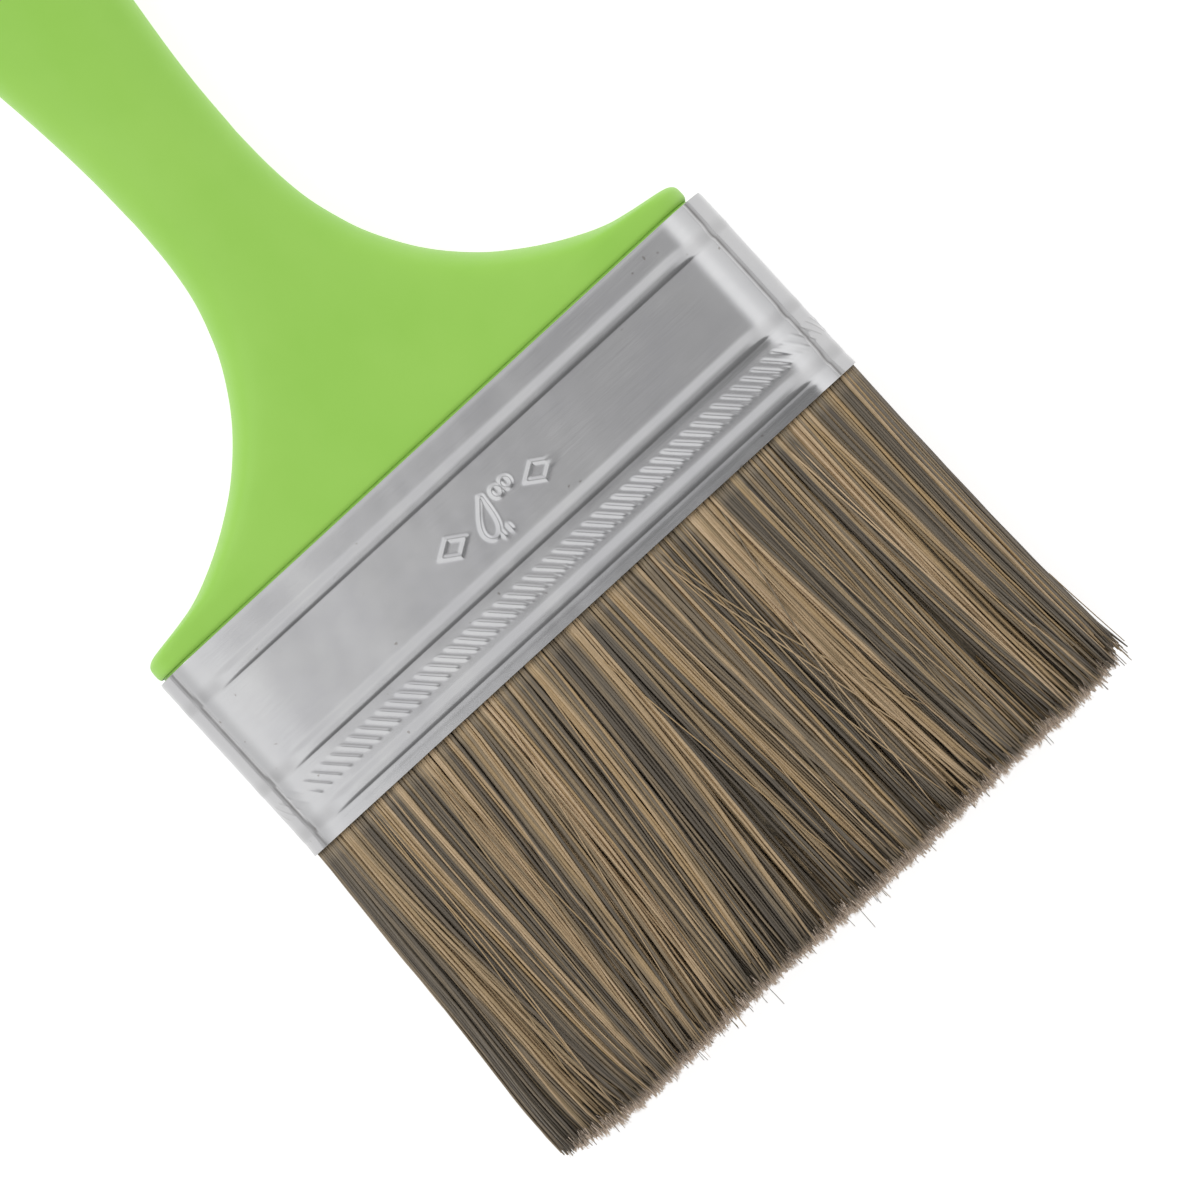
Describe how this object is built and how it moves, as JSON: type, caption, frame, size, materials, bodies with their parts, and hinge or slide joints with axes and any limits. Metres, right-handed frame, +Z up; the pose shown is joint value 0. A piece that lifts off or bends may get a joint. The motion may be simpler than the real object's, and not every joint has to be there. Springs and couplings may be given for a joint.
{
  "type": "flat paint brush",
  "caption": "Flat wall paint brush: plastic beavertail handle, beaded sheet-metal ferrule and a square-cut tuft of mixed filaments that bends at the ferrule's mouth.",
  "frame": {"origin": "centre of the bounding box's bottom face, on the surface that the brush lies on", "axes": "+X across the width, +Y along the brush from the filament tips to the handle end, +Z up through the front face"},
  "size_m": [0.1056, 0.2334, 0.0158],
  "materials": {
    "handle_plastic": "satin lime-green moulded plastic",
    "tinplate": "bright rolled tinplate",
    "resin": "cast amber resin",
    "plug_wood": "plain sawn softwood",
    "bonded_filament": "resin-soaked filament",
    "filament": "mixed tan, khaki and charcoal filament"
  },
  "bodies": {
    "handle_and_ferrule": {"handle": "handle_plastic", "ferrule": "tinplate", "resin_set": "resin", "spacer_plug": "plug_wood", "front_filament_roots": "bonded_filament", "back_filament_roots": "bonded_filament"},
    "tuft": {"front_filaments": "filament", "back_filaments": "filament"}
  },
  "joints": [
    {"name": "tuft_bend", "type": "hinge", "parent": "handle_and_ferrule", "child": "tuft", "pos_m": [0, -0.0607, 0.0079], "axis": [1, 0, 0], "range_deg": [-25, 25], "stiffness_Nm_per_rad": 1.2}
  ]
}
